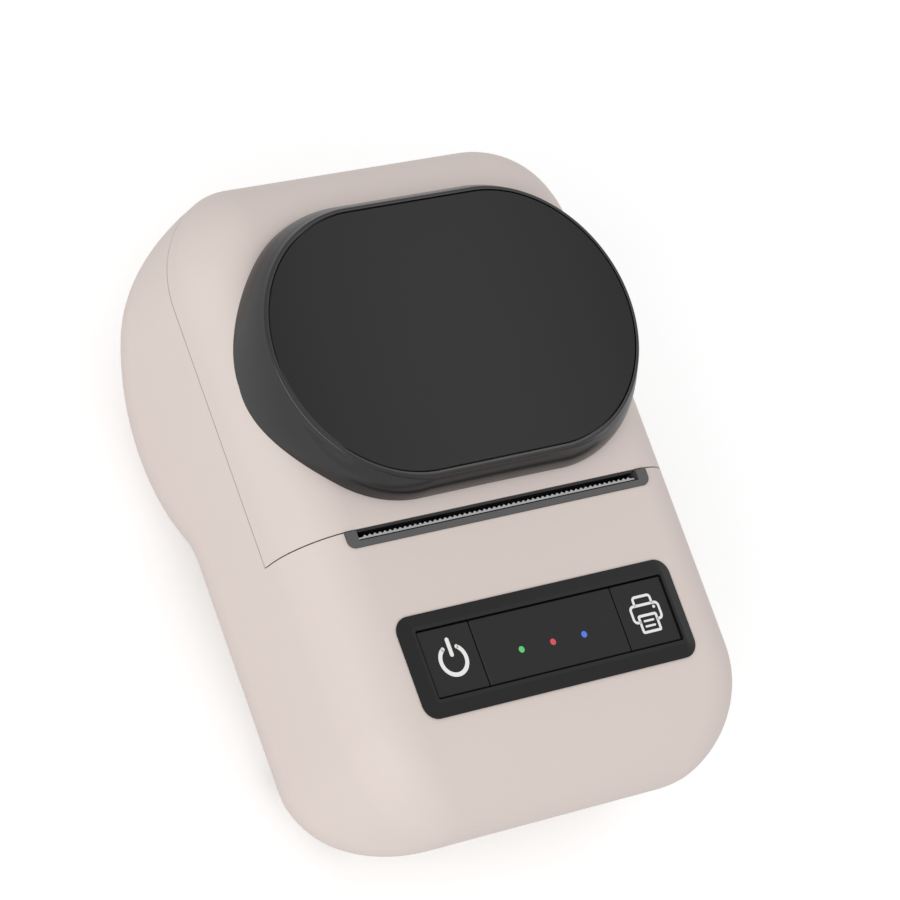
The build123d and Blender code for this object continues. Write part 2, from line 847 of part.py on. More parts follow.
def slot_bezel():
    """Dark U-shaped surround, open to the rear, with the holder for the tear bar below it."""
    ring = bezel_block(0, -wall, bezel_rise)
    inside = bezel_half_length - bezel_end_width
    ring -= block(-inside, inside, slot_front_y + bezel_lip, far, -far, far)
    reach = inside - 0.2
    holder = block(-reach, reach, slot_front_y, slot_front_y + bezel_lip, -bezel_depth, 0)
    holder += block(-reach, reach, slot_front_y, tear_front_y(), -bezel_depth, -wall - 0.1)
    return ring + holder


def tear_front_y():
    return slot_front_y + bezel_lip + 0.35


def tear_bar():
    """Steel strip with a serrated edge that points to the rear."""
    front = tear_front_y()
    top = -tear_drop
    leg = block(-tear_half_length, tear_half_length, front, front + tear_thickness, -bezel_depth, top)
    count = int(2 * tear_half_length / tooth_pitch) - 1
    start = -count * tooth_pitch / 2
    edge = front + tear_thickness - 0.05
    points = [(-tear_half_length, front), (tear_half_length, front), (tear_half_length, edge)]
    for tooth in range(count, 0, -1):
        points.append((start + tooth * tooth_pitch, edge))
        points.append((start + (tooth - 0.5) * tooth_pitch, edge + tooth_height))
    points += [(start, edge), (-tear_half_length, edge)]
    return leg + extrude(Plane.XY.offset(top - tear_thickness) * polygon(points), tear_thickness)


# Control panel
def panel_rectangle(width, depth, radius):
    return Pos(0, panel_y) * RectangleRounded(width, depth, radius)


def control_panel():
    """Raised plateau with sloping sides, open for the two keys and the plate between them."""
    slope = math.degrees(math.atan2(panel_slope_run, panel_rise - panel_edge))
    outline = panel_rectangle(panel_width, panel_depth, panel_corner_radius)
    plateau = extrude(outline, panel_edge)
    plateau += extrude(Plane.XY.offset(panel_edge) * outline, panel_rise - panel_edge, taper=slope)
    skirt = panel_rectangle(panel_width - 2, panel_depth - 2, panel_corner_radius - 1)
    depth = -key_board_z - key_board_thickness
    plateau += extrude(Plane.XY.offset(-depth) * skirt, depth)
    well = panel_rectangle(well_width, well_depth, 0.4)
    return plateau - extrude(Plane.XY.offset(-far) * well, 2 * far)


def key_x():
    return well_width / 2 - key_gap - key_width / 2


def key(x):
    cap = extrude(
        Plane.XY.offset(key_top_z - key_thickness)
        * Pos(x, panel_y)
        * RectangleRounded(key_width, well_depth - 2 * key_gap, 0.3),
        key_thickness,
    )
    cap = cap.chamfer(key_chamfer, None, cap.edges().group_by(Axis.Z)[-1])
    switch_top = key_board_z + key_board_thickness + switch_height + switch_button_height
    return cap + post(x, panel_y, stem_radius, switch_top + key_travel + 0.05, key_top_z - key_thickness)


def power_key():
    return key(-key_x())


def feed_key():
    return key(key_x())


def status_plate():
    half = key_x() - key_width / 2 - key_gap
    low = key_top_z - key_thickness
    base = extrude(Plane.XY.offset(low) * Pos(0, panel_y) * Rectangle(2 * half, well_depth), key_thickness / 2)
    face = RectangleRounded(2 * half, well_depth - 2 * key_gap, 0.3)
    top = extrude(Plane.XY.offset(low) * Pos(0, panel_y) * face, key_thickness)
    body = base + top.chamfer(key_chamfer, None, top.edges().group_by(Axis.Z)[-1])
    for step in (-1, 0, 1):
        body -= post(step * light_pitch, panel_y + light_offset_y, light_radius, -far, far)
    return body


def light_pipe(step):
    low = key_board_z + key_board_thickness + 0.6
    return post(step * light_pitch, panel_y + light_offset_y, light_radius, low, key_top_z)


def light_green():
    return light_pipe(-1)


def light_red():
    return light_pipe(0)


def light_blue():
    return light_pipe(1)


def led_chips():
    base = key_board_z + key_board_thickness
    y = panel_y + light_offset_y
    chips = [
        block(s * light_pitch - 0.8, s * light_pitch + 0.8, y - 0.4, y + 0.4, base, base + 0.6) for s in (-1, 0, 1)
    ]
    return Compound(children=chips)


def key_board():
    half = panel_width / 2 - 1.5
    y0 = panel_y - panel_depth / 2 + 1.5
    y1 = panel_y + panel_depth / 2 - 1.5
    return block(-half, half, y0, y1, key_board_z, key_board_z + key_board_thickness)


def tact_switches():
    base = key_board_z + key_board_thickness
    half = switch_size / 2
    bodies = []
    for x in (-key_x(), key_x()):
        body = block(x - half, x + half, panel_y - half, panel_y + half, base, base + switch_height)
        bodies.append(body + post(x, panel_y, stem_radius - 0.3, base, base + switch_height + switch_button_height))
    return Compound(children=bodies)


# Label path and roll chamber
def paper_guide():
    """Ramp that leads the label from the chamber up to the nip."""
    top_y = sink_rear_y + 1.9
    lip = liner_front_y()
    ramp = polygon(
        [
            (top_y, platen_z - platen_radius - 1.3),
            (lip - 0.1, liner_front_z),
            (lip - 0.1, liner_front_z - 1.5),
            (top_y, platen_z - platen_radius - 2.8),
        ]
    )
    return along_x(ramp, -bush_inner_x + 0.6, bush_inner_x - 0.6)


def gap_sensor():
    """Small sensor that looks up at the label through the ramp."""
    front_y = sink_rear_y + 2.6
    back_y = liner_front_y() - 1.0
    slope = (liner_front_z - platen_z + platen_radius + 1.3) / (liner_front_y() - 0.1 - sink_rear_y - 1.9)
    front_z = platen_z - platen_radius - 2.8 + (front_y - sink_rear_y - 1.9) * slope
    back_z = front_z + (back_y - front_y) * slope
    outline = polygon([(front_y, front_z), (back_y, back_z), (back_y, back_z - 2.4), (front_y, front_z - 2.4)])
    return along_x(outline, -3, 3)


def liner_front_y():
    return barrel_y - math.sqrt(chamber_radius**2 - (liner_front_z - barrel_z) ** 2)


def guide_slot(side):
    """Slot in the chamber's floor that one guide's leg runs in."""
    y = barrel_y + side * rack_centre_offset()
    outer = guide_x + guide_thickness / 2 + 0.5
    inner = guide_x - guide_thickness / 2 - guide_travel - 0.5
    x0, x1 = sorted((side * outer, side * inner))
    return block(x0, x1, y - leg_width / 2 - 0.3, y + leg_width / 2 + 0.3, -far, barrel_z - guide_radius)


def chamber_liner():
    """Black trough that the label roll lies in, with end walls and two slots for the guides."""
    trough = rod(barrel_y, barrel_z, chamber_radius + liner_thickness, -liner_half_length, liner_half_length)
    inner = liner_half_length - liner_end_wall
    trough -= rod(barrel_y, barrel_z, chamber_radius, -inner, inner)
    top = part_z - seam_gap
    trough &= block(-far, far, liner_front_y() - 0.1, far, -far, top)
    trough -= block(-far, far, -far, barrel_y - chamber_radius * 0.6, liner_front_z, far)
    return trough - guide_slot(-1) - guide_slot(1)


def rack_outline(length, side):
    """Rack bar in plan, its teeth on the side that faces the pinion, with a gap at the origin."""
    pitch = math.pi * rack_module
    slope = math.tan(math.radians(22))
    half = (pitch / 2 - rack_backlash) / 2
    tip = half - 0.8 * rack_module * slope
    foot = half + 1.0 * rack_module * slope
    line = 0.05
    base = -1.0 * rack_module - line
    top = 0.8 * rack_module - line
    back = base - rack_depth
    points = [(-length, back), (rack_overrun, back), (rack_overrun, base)]
    count = int((length - 6) / pitch)
    for tooth in range(1, -count, -1):
        x = (tooth - 0.5) * pitch
        points += [(x + foot, base), (x + tip, top), (x - tip, top), (x - foot, base)]
    points.append((-length, base))
    outline = Pos(0, -guide_pinion_radius()) * polygon(points)
    if side > 0:
        outline = Rot(0, 0, 180) * outline
    return Pos(0, barrel_y) * outline


def roll_guide(side):
    """Upright disc with a hub for the roll's core, a leg through the floor and a rack below."""
    x0, x1 = sorted((side * (guide_x - guide_thickness / 2), side * (guide_x + guide_thickness / 2)))
    disc = rod(barrel_y, barrel_z, guide_radius, x0, x1) & block(-far, far, -far, far, -far, guide_top_z)
    inner_face = side * (guide_x - guide_thickness / 2)
    cone = Plane.YZ.offset(inner_face) * Pos(barrel_y, barrel_z) * Circle(guide_hub_radius)
    disc += extrude(cone, guide_hub_length, dir=(-side, 0, 0), taper=8)
    disc -= rod(barrel_y, barrel_z, guide_hub_radius - 2.2, -far, far)
    leg_y = barrel_y + side * rack_centre_offset()
    low = rack_z - rack_thickness / 2
    disc += block(x0, x1, leg_y - leg_width / 2, leg_y + leg_width / 2, low, barrel_z - guide_radius / 2)
    bar = Plane.XY.offset(low) * rack_outline(guide_x + guide_thickness / 2, side)
    return disc + extrude(bar, rack_thickness, dir=(0, 0, 1))


def guide_left():
    return roll_guide(-1)


def guide_right():
    return roll_guide(1)


def guide_pinion():
    outline = gear_outline(guide_pinion_teeth, rack_module, 90, rack_backlash)
    outline -= Circle(guide_stud_radius() + running_clearance)
    return extrude(Plane.XY.offset(rack_z - rack_thickness / 2) * Pos(0, barrel_y) * outline, rack_thickness)


# Electronics
def main_board():
    neck_front = usb_y - usb_width / 2 - 0.8
    neck_rear = usb_y + usb_width / 2 + 1.3
    outline = polygon(
        [
            (board_left_x, board_front_y),
            (board_right_x, board_front_y),
            (board_right_x, neck_front),
            (board_edge_x, neck_front),
            (board_edge_x, neck_rear),
            (board_right_x - board_step, neck_rear),
            (board_right_x - board_step, board_rear_y),
            (board_left_x, board_rear_y),
        ]
    )
    board = extrude(Plane.XY.offset(board_z) * outline, board_thickness)
    for x, y in board_post_places():
        board -= post(x, y, small_screw_radius + 0.1, board_z, board_top_z)
    return board


def board_chips():
    """Controller, radio can, coil, capacitor and two plugs on the main board."""
    sizes = [
        (0, -30, 9, 9, 1.2),
        (12.5, -36, 10, 7, 2.0),
        (16, -22, 6, 6, 3.0),
        (0, -16, 5, 5, 2.6),
        (-6.8, -22, 5, 8, 3.2),
        (28, -34.5, 4, 4, 1.4),
    ]
    chips = [
        block(x - w / 2, x + w / 2, y - d / 2, y + d / 2, board_top_z, board_top_z + h) for x, y, w, d, h in sizes
    ]
    return Compound(children=chips)


def usb_socket():
    outline = Pos(usb_y, board_top_z + usb_height / 2) * RectangleRounded(
        usb_width, usb_height, usb_height / 2 - 0.05
    )
    inside = Pos(usb_y, board_top_z + usb_height / 2) * RectangleRounded(
        usb_width - 0.8, usb_height - 0.8, usb_height / 2 - 0.45
    )
    mouth = body_width / 2 - 0.6
    shell = along_x(outline, mouth - 7.3, mouth) - along_x(inside, mouth - 6, mouth)
    tongue_z = board_top_z + usb_height / 2
    return shell + block(mouth - 6, mouth - 1, usb_y - 3.2, usb_y + 3.2, tongue_z - 0.35, tongue_z + 0.35)


def battery_box(low, height):
    length, depth, _ = battery_size
    outline = Pos(battery_x, battery_y) * RectangleRounded(length, depth, 2)
    return extrude(Plane.XY.offset(low) * outline, height)


def battery():
    cell = battery_box(floor_z + pad_thickness, battery_size[2])
    return cell.fillet(1.5, cell.edges().group_by(Axis.Z)[-1])


def battery_pad():
    return battery_box(floor_z, pad_thickness)


# Screws
def screw(x, y, seat, length, radius, head_radius, head_height):
    """Screw with its head below the seat, or above it where the length and head height are negative."""
    shank = post(x, y, radius, min(seat, seat + length), max(seat, seat + length))
    return shank + post(x, y, head_radius, min(seat, seat - head_height), max(seat, seat - head_height))


def case_screws():
    screws = [
        screw(x, y, screw_seat_z, screw_length, screw_radius, screw_head_radius, screw_head_height)
        for x, y in boss_places
    ]
    return Compound(children=screws)


def board_screws():
    sizes = (board_top_z, -small_screw_length, small_screw_radius, small_head_radius, -small_head_height)
    return Compound(children=[screw(x, y, *sizes) for x, y in board_post_places()])


def frame_screws():
    x, y = frame_screw_place
    seat = frame_bottom_z + frame_sheet
    sizes = (seat, -small_screw_length, small_screw_radius, small_head_radius, -small_head_height)
    return Compound(children=[screw(side * x, y, *sizes) for side in (-1, 1)])


def plate_screws():
    """Two screws that hold the gear plate on the frame's left side plate."""
    outer = -gear_plate_x - gear_plate_thickness
    screws = []
    for y, z in plate_screw_places:
        shank = rod(y, z, small_screw_radius, outer, -side_plate_x)
        screws.append(shank + rod(y, z, small_head_radius, outer - plate_head_height, outer))
    return Compound(children=screws)


PARTS = {
    "bottom_shell": bottom_shell,
    "top_shell": top_shell,
    "cover_frame": cover_frame,
    "dome_shell": dome_shell,
    "dome_plate": dome_plate,
    "hinge_pins": hinge_pins,
    "platen_carrier": platen_carrier,
    "platen_bushes": platen_bushes,
    "platen_roller": platen_roller,
    "platen_shaft": platen_shaft,
    "platen_gear": platen_gear,
    "idler_gear_a": idler_gear_a,
    "idler_gear_b": idler_gear_b,
    "motor_pinion": motor_pinion,
    "motor_shaft": motor_shaft,
    "stepper_motor": stepper_motor,
    "gear_plate": gear_plate,
    "gear_posts": gear_posts,
    "print_head": print_head,
    "head_sink": head_sink,
    "head_pin": head_pin,
    "pressure_spring": pressure_spring,
    "mech_frame": mech_frame,
    "slot_bezel": slot_bezel,
    "slot_lip": slot_lip,
    "tear_bar": tear_bar,
    "control_panel": control_panel,
    "power_key": power_key,
    "feed_key": feed_key,
    "status_plate": status_plate,
    "light_green": light_green,
    "light_red": light_red,
    "light_blue": light_blue,
    "led_chips": led_chips,
    "key_board": key_board,
    "tact_switches": tact_switches,
    "paper_guide": paper_guide,
    "gap_sensor": gap_sensor,
    "chamber_liner": chamber_liner,
    "guide_left": guide_left,
    "guide_right": guide_right,
    "guide_pinion": guide_pinion,
    "main_board": main_board,
    "board_chips": board_chips,
    "usb_socket": usb_socket,
    "battery": battery,
    "battery_pad": battery_pad,
    "rubber_feet": rubber_feet,
    "case_screws": case_screws,
    "board_screws": board_screws,
    "frame_screws": frame_screws,
    "plate_screws": plate_screws,
}

for node, make in PARTS.items():
    export_step(seated(make()), f"parts/{node}.step")

print("hinge", row_place(0, hinge_y, hinge_z))
print("platen", row_place(0, *platen_place))
print("idler_a", row_place(0, *idler_a_place))
print("idler_b", row_place(0, *idler_b_place))
print("pinion", row_place(0, *pinion_place))
print("head pin", row_place(0, head_pin_y, head_pin_z))
print("guide pinion", row_place(0, barrel_y, rack_z))
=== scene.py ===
import math

import bpy
from mathutils import Matrix, Vector


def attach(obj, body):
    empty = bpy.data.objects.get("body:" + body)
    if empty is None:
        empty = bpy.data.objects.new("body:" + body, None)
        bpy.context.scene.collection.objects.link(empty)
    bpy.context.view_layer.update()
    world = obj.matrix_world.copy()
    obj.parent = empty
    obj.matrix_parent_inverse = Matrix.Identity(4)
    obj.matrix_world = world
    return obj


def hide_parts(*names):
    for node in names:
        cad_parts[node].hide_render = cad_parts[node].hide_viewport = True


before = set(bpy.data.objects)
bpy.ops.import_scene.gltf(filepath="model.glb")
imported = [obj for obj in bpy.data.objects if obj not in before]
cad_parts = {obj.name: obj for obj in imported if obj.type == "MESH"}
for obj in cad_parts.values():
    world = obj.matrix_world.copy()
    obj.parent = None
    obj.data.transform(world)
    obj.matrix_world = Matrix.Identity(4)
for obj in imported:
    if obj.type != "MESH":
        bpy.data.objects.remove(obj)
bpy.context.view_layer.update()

# Lower shell
# Moulded ABS tub in a warm pinkish beige, with the fine spark-eroded texture of an
# office machine. It stands on four feet and carries everything inside it.
cloud_scale = 55.0
gloss_play = 0.05
grain_strength = 0.35


def moulded_plastic(name, colour, roughness, grain, grain_depth, mottle=0.02, shine=0.5):
    """Plastic with a fine moulded grain, slightly uneven colour and slightly uneven gloss."""
    material = bpy.data.materials.new(name)
    material.use_nodes = True
    nodes = material.node_tree.nodes
    links = material.node_tree.links
    shader = nodes["Principled BSDF"]
    place = nodes.new("ShaderNodeTexCoord")
    cloud = nodes.new("ShaderNodeTexNoise")
    cloud.inputs["Scale"].default_value = cloud_scale
    cloud.inputs["Detail"].default_value = 3.0
    links.new(place.outputs["Object"], cloud.inputs["Vector"])
    tint = nodes.new("ShaderNodeMix")
    tint.data_type = "RGBA"
    tint.inputs["A"].default_value = [c * (1 - mottle) for c in colour] + [1.0]
    tint.inputs["B"].default_value = [min(1.0, c * (1 + mottle)) for c in colour] + [1.0]
    links.new(cloud.outputs["Fac"], tint.inputs["Factor"])
    links.new(tint.outputs["Result"], shader.inputs["Base Color"])
    fine = nodes.new("ShaderNodeTexNoise")
    fine.inputs["Scale"].default_value = grain
    fine.inputs["Detail"].default_value = 2.0
    links.new(place.outputs["Object"], fine.inputs["Vector"])
    gloss = nodes.new("ShaderNodeMapRange")
    gloss.inputs["To Min"].default_value = roughness - gloss_play
    gloss.inputs["To Max"].default_value = roughness + gloss_play
    links.new(fine.outputs["Fac"], gloss.inputs["Value"])
    links.new(gloss.outputs["Result"], shader.inputs["Roughness"])
    bump = nodes.new("ShaderNodeBump")
    bump.inputs["Strength"].default_value = grain_strength
    bump.inputs["Distance"].default_value = grain_depth
    links.new(fine.outputs["Fac"], bump.inputs["Height"])
    links.new(bump.outputs["Normal"], shader.inputs["Normal"])
    shader.inputs["Specular IOR Level"].default_value = shine
    return material


def dress(material, *pieces):
    """Give pieces of the frame their finish."""
    for piece in pieces:
        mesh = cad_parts[piece].data
        mesh.materials.clear()
        mesh.materials.append(material)


beige = moulded_plastic(
    "beige_abs", (0.723, 0.631, 0.591), roughness=0.55, grain=2600.0, grain_depth=0.00003, mottle=0.008
)
dress(beige, "bottom_shell")

# Battery
# Flat lithium cell in a grey foil pouch.
# It lies on a soft black pad in the bottom of the tub, under the main board.
line_scale = 160.0
line_shade = 0.86
smoother_by = 0.08
rougher_by = 0.1


def metal(name, colour, roughness, stretch=(1.0, 30.0, 30.0)):
    """Metal with fine lines along X, or with an even grain where the stretch is the same all ways."""
    material = bpy.data.materials.new(name)
    material.use_nodes = True
    nodes = material.node_tree.nodes
    links = material.node_tree.links
    shader = nodes["Principled BSDF"]
    shader.inputs["Metallic"].default_value = 1.0
    place = nodes.new("ShaderNodeTexCoord")
    turn = nodes.new("ShaderNodeMapping")
    turn.inputs["Scale"].default_value = stretch
    links.new(place.outputs["Object"], turn.inputs["Vector"])
    lines = nodes.new("ShaderNodeTexNoise")
    lines.inputs["Scale"].default_value = line_scale
    lines.inputs["Detail"].default_value = 4.0
    links.new(turn.outputs["Vector"], lines.inputs["Vector"])
    tint = nodes.new("ShaderNodeMix")
    tint.data_type = "RGBA"
    tint.inputs["A"].default_value = [c * line_shade for c in colour] + [1.0]
    tint.inputs["B"].default_value = list(colour) + [1.0]
    links.new(lines.outputs["Fac"], tint.inputs["Factor"])
    links.new(tint.outputs["Result"], shader.inputs["Base Color"])
    gloss = nodes.new("ShaderNodeMapRange")
    gloss.inputs["To Min"].default_value = roughness - smoother_by
    gloss.inputs["To Max"].default_value = roughness + rougher_by
    links.new(lines.outputs["Fac"], gloss.inputs["Value"])
    links.new(gloss.outputs["Result"], shader.inputs["Roughness"])
    return material


rubber = moulded_plastic(
    "black_rubber", (0.02, 0.02, 0.02), roughness=0.75, grain=1800.0, grain_depth=0.00004
)
dress(metal("cell_foil", (0.5, 0.52, 0.55), roughness=0.35, stretch=(10.0, 10.0, 10.0)), "battery")
dress(rubber, "battery_pad")

# Main board
# Green glass-fibre board with etched tracks and pale pads, and black parts soldered on it.
# Steel screws hold it on posts of the tub; its steel charging socket looks out on the right.
track_scale = 260.0
pad_scale = 420.0
pad_inside = 0.16
pad_outside = 0.2
steel = metal("rolled_steel", (0.62, 0.62, 0.63), roughness=0.3)
soft_black = moulded_plastic(
    "soft_black", (0.025, 0.025, 0.026), roughness=0.55, grain=2600.0, grain_depth=0.00002
)
board_green = moulded_plastic(
    "solder_mask", (0.01, 0.12, 0.05), roughness=0.3, grain=900.0, grain_depth=0.00002
)
board_nodes = board_green.node_tree.nodes
board_links = board_green.node_tree.links
board_place = board_nodes.new("ShaderNodeTexCoord")
tracks = board_nodes.new("ShaderNodeTexBrick")
tracks.inputs["Scale"].default_value = track_scale
tracks.inputs["Mortar Size"].default_value = 0.06
tracks.inputs["Mortar Smooth"].default_value = 0.1
tracks.inputs["Color1"].default_value = (0.008, 0.1, 0.04, 1)
tracks.inputs["Color2"].default_value = (0.01, 0.13, 0.055, 1)
tracks.inputs["Mortar"].default_value = (0.03, 0.24, 0.1, 1)
board_links.new(board_place.outputs["Object"], tracks.inputs["Vector"])
pads = board_nodes.new("ShaderNodeTexVoronoi")
pads.inputs["Scale"].default_value = pad_scale
pads.inputs["Randomness"].default_value = 0.7
board_links.new(board_place.outputs["Object"], pads.inputs["Vector"])
pad_edge = board_nodes.new("ShaderNodeMapRange")
pad_edge.inputs["From Min"].default_value = pad_inside
pad_edge.inputs["From Max"].default_value = pad_outside
pad_edge.inputs["To Min"].default_value = 1.0
pad_edge.inputs["To Max"].default_value = 0.0
board_links.new(pads.outputs["Distance"], pad_edge.inputs["Value"])
board_mix = board_nodes.new("ShaderNodeMix")
board_mix.data_type = "RGBA"
board_mix.inputs["B"].default_value = (0.55, 0.5, 0.36, 1)
board_links.new(pad_edge.outputs["Result"], board_mix.inputs["Factor"])
board_links.new(tracks.outputs["Color"], board_mix.inputs["A"])
board_links.new(board_mix.outputs["Result"], board_nodes["Principled BSDF"].inputs["Base Color"])
dress(board_green, "main_board")
dress(soft_black, "board_chips")
dress(steel, "board_screws", "usb_socket")

# Feed drive
# Stepper motor in a steel can with a brass pinion, and two white acetal idlers on steel posts.
# A steel plate carries them, and screws hold it on the left of the print mechanism's frame.
acetal = moulded_plastic(
    "white_acetal", (0.78, 0.77, 0.72), roughness=0.4, grain=3000.0, grain_depth=0.00001
)
dress(steel, "stepper_motor", "motor_shaft", "gear_plate", "gear_posts", "plate_screws")
dress(metal("turned_brass", (0.78, 0.6, 0.28), roughness=0.28), "motor_pinion")
dress(acetal, "idler_gear_a", "idler_gear_b")

# Print head
# Ceramic thermal head on an aluminium bar that leans on a steel pin against a leaf spring.
# A bent steel frame holds them, and screws hold it on two pillars of the tub.
ceramic = moulded_plastic(
    "ceramic", (0.72, 0.69, 0.62), roughness=0.35, grain=3000.0, grain_depth=0.00001
)
dress(steel, "mech_frame", "frame_screws", "head_pin", "pressure_spring")
dress(metal("cast_aluminium", (0.72, 0.72, 0.73), roughness=0.42, stretch=(20.0, 20.0, 20.0)), "head_sink")
dress(ceramic, "print_head")

# Label path
# Black moulded trough that the roll lies in, and a ramp from it up to the print head with a
# small label sensor below. The trough lies on ribs of the tub.
dress(soft_black, "chamber_liner", "paper_guide", "gap_sensor")

# Roll guides
# Two grey moulded discs that hold the roll between them. Each stands on a rack under the
# trough, and one white pinion between the racks keeps the roll in the middle.
guide_grey = moulded_plastic(
    "guide_grey", (0.3, 0.31, 0.33), roughness=0.45, grain=2600.0, grain_depth=0.00002
)
dress(guide_grey, "guide_left", "guide_right")
dress(acetal, "guide_pinion")

# Cover frame
# Beige ABS rear half of the deck, which opens to let the roll in.
# It swings on two steel pins in ears at the back of the barrel.
dress(beige, "cover_frame")
dress(steel, "hinge_pins")

# Platen
# Black rubber roller on a steel shaft, with a white acetal gear at its left end.
# Two bushes hold it in a black bracket under the cover's front edge, so it lifts away.
dress(soft_black, "platen_carrier", "platen_bushes")
dress(steel, "platen_shaft")
dress(rubber, "platen_roller")
dress(acetal, "platen_gear")

# Dome
# One gloss black moulding clipped on the cover: a long oval with a flank that swells towards
# its foot, a rounded rim and a recess for the top plate. Its foot follows the deck.
deck_tilt = math.radians(5.8)
deck_origin = Vector((0.0, -0.010234235, 0.046573361))
deck_matrix = Matrix.Translation(deck_origin) @ Matrix.Rotation(deck_tilt, 4, "X")
shoulder_x = 0.0315
shoulder_radius = 0.011
dome_y = 0.0325
dome_wall = 0.0018
oval_points = 192
rim_height = 0.0062
rim_radius = 0.0005
rim_foot = rim_height - rim_radius
rim_flat = 0.0003
rim_steps = 5
rim_end_radius = 0.0259
rim_end_centre = 0.01375
flank_swell_x = 0.0011
flank_swell_y = 0.0018
flank_power = 2.2
flank_steps = 12
front_corner_swell = 0.0009
foot_sink = 0.0002
recess_depth = 0.00095
recess_floor = rim_height - recess_depth
ledge_width = 0.001
hair = 0.00001
same_height = 0.000001
inner_steps = 4
inner_end_share = 0.3
crease_angle = math.radians(32)
gloss_black = moulded_plastic(
    "gloss_black", (0.007, 0.007, 0.008), roughness=0.24, grain=5200.0, grain_depth=0.000003, shine=0.7
)


def deck_height(x):
    """Height of the cover's deck, which is flat and rolls over at the shoulders."""
    past = max(0.0, abs(x) - shoulder_x)
    return math.sqrt(shoulder_radius**2 - past**2) - shoulder_radius


def pick_ring(piece, test):
    """Select the points of a piece that pass a test, with the edges between them."""
    bpy.ops.object.mode_set(mode="OBJECT")
    mesh = piece.data
    for point in mesh.vertices:
        point.select = test(point.co)
    for edge in mesh.edges:
        edge.select = all(mesh.vertices[i].select for i in edge.vertices)
    for face in mesh.polygons:
        face.select = False
    bpy.ops.object.mode_set(mode="EDIT")


def swell_at(fraction):
    """Share of a flank's swell that is reached at a fraction of the way down from the rim."""
    return 1.0 - (1.0 - fraction) ** flank_power


def seat_ring(piece, start, fraction, growth):
    """Set the newest ring at its share of the way from a height down to the deck.

    Growth is the ring's share of the swell that the two front corners get.
    """
    bpy.ops.object.mode_set(mode="OBJECT")
    for point in piece.data.vertices:
        if not point.select:
            continue
        x, y = point.co.xy
        turn = math.atan2(max(0.0, abs(x) - rim_end_centre), abs(y))
        if y < 0.0:
            push = front_corner_swell * growth * math.sin(2.0 * turn)
            point.co.x += math.copysign(push * math.sin(turn), x)
            point.co.y -= push * math.cos(turn)
        point.co.z = start + fraction * (deck_height(point.co.x) - foot_sink - start)
    bpy.ops.object.mode_set(mode="EDIT")


bpy.ops.object.select_all(action="DESELECT")
bpy.ops.mesh.primitive_circle_add(
    vertices=oval_points, radius=rim_end_radius, fill_type="NGON", location=(0, 0, 0)
)
dome = bpy.context.object
dome.name = "dome"
for point in dome.data.vertices:
    if abs(point.co.x) > hair:
        point.co.x += math.copysign(rim_end_centre, point.co.x)
    point.co.z = rim_foot
bpy.ops.object.mode_set(mode="EDIT")
for step in range(rim_steps):
    low = math.radians(90.0 * step / rim_steps)
    high = math.radians(90.0 * (step + 1) / rim_steps)
    bpy.ops.mesh.inset(
        thickness=rim_radius * (math.cos(low) - math.cos(high)),
        depth=rim_radius * (math.sin(high) - math.sin(low)),
    )
bpy.ops.mesh.inset(thickness=rim_flat, depth=0.0)
bpy.ops.mesh.inset(thickness=hair, depth=-recess_depth)
bpy.ops.mesh.inset(thickness=ledge_width, depth=0.0)
bpy.ops.mesh.select_mode(type="VERT")
bpy.ops.mesh.delete(type="ONLY_FACE")
ledge_half_depth = rim_end_radius - rim_radius - rim_flat - hair - ledge_width
inner_growth = (rim_end_radius + flank_swell_y - dome_wall - ledge_half_depth) / inner_steps
inner_stretch_x = 1.0 + inner_end_share * inner_growth / ledge_half_depth
inner_stretch_y = 1.0 + inner_growth / ledge_half_depth
for step in range(inner_steps):
    bpy.ops.mesh.extrude_region_move()
    bpy.ops.transform.resize(value=(inner_stretch_x, inner_stretch_y, 1.0))
    seat_ring(dome, recess_floor, (step + 1) / inner_steps, 0.0)
pick_ring(dome, lambda co: abs(co.z - rim_foot) < same_height)
for step in range(flank_steps):
    before = swell_at(step / flank_steps)
    after = swell_at((step + 1) / flank_steps)
    half_length = rim_end_centre + rim_end_radius + flank_swell_x * before
    half_depth = rim_end_radius + flank_swell_y * before
    bpy.ops.mesh.extrude_region_move()
    stretch_x = 1.0 + flank_swell_x * (after - before) / half_length
    stretch_y = 1.0 + flank_swell_y * (after - before) / half_depth
    bpy.ops.transform.resize(value=(stretch_x, stretch_y, 1.0))
    seat_ring(dome, rim_foot, (step + 1) / flank_steps, after - before)
bpy.ops.mesh.select_all(action="DESELECT")
bpy.ops.mesh.select_non_manifold(
    use_wire=False, use_boundary=True, use_multi_face=False, use_non_contiguous=False, use_verts=False
)
bpy.ops.mesh.bridge_edge_loops()
bpy.ops.mesh.select_all(action="SELECT")
bpy.ops.mesh.normals_make_consistent(inside=False)
bpy.ops.object.mode_set(mode="OBJECT")
bpy.ops.object.shade_smooth_by_angle(angle=crease_angle)
dome.data.transform(deck_matrix @ Matrix.Translation((0.0, dome_y, 0.0)))
dome.data.materials.append(gloss_black)
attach(dome, "cover")
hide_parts("dome_shell")

# Dome top
# Satin black plastic plate with a fine sandblasted face.
# It is let into the recess inside the dome's rim.
satin_black = moulded_plastic(
    "satin_black", (0.009, 0.009, 0.0095), roughness=0.19, grain=7000.0, grain_depth=0.000003, shine=0.2
)
dress(satin_black, "dome_plate")

# Front deck
# Beige ABS lid over the print head and the boards.
# Four steel screws from below draw it down on the tub.
dress(beige, "top_shell")
dress(steel, "case_screws")

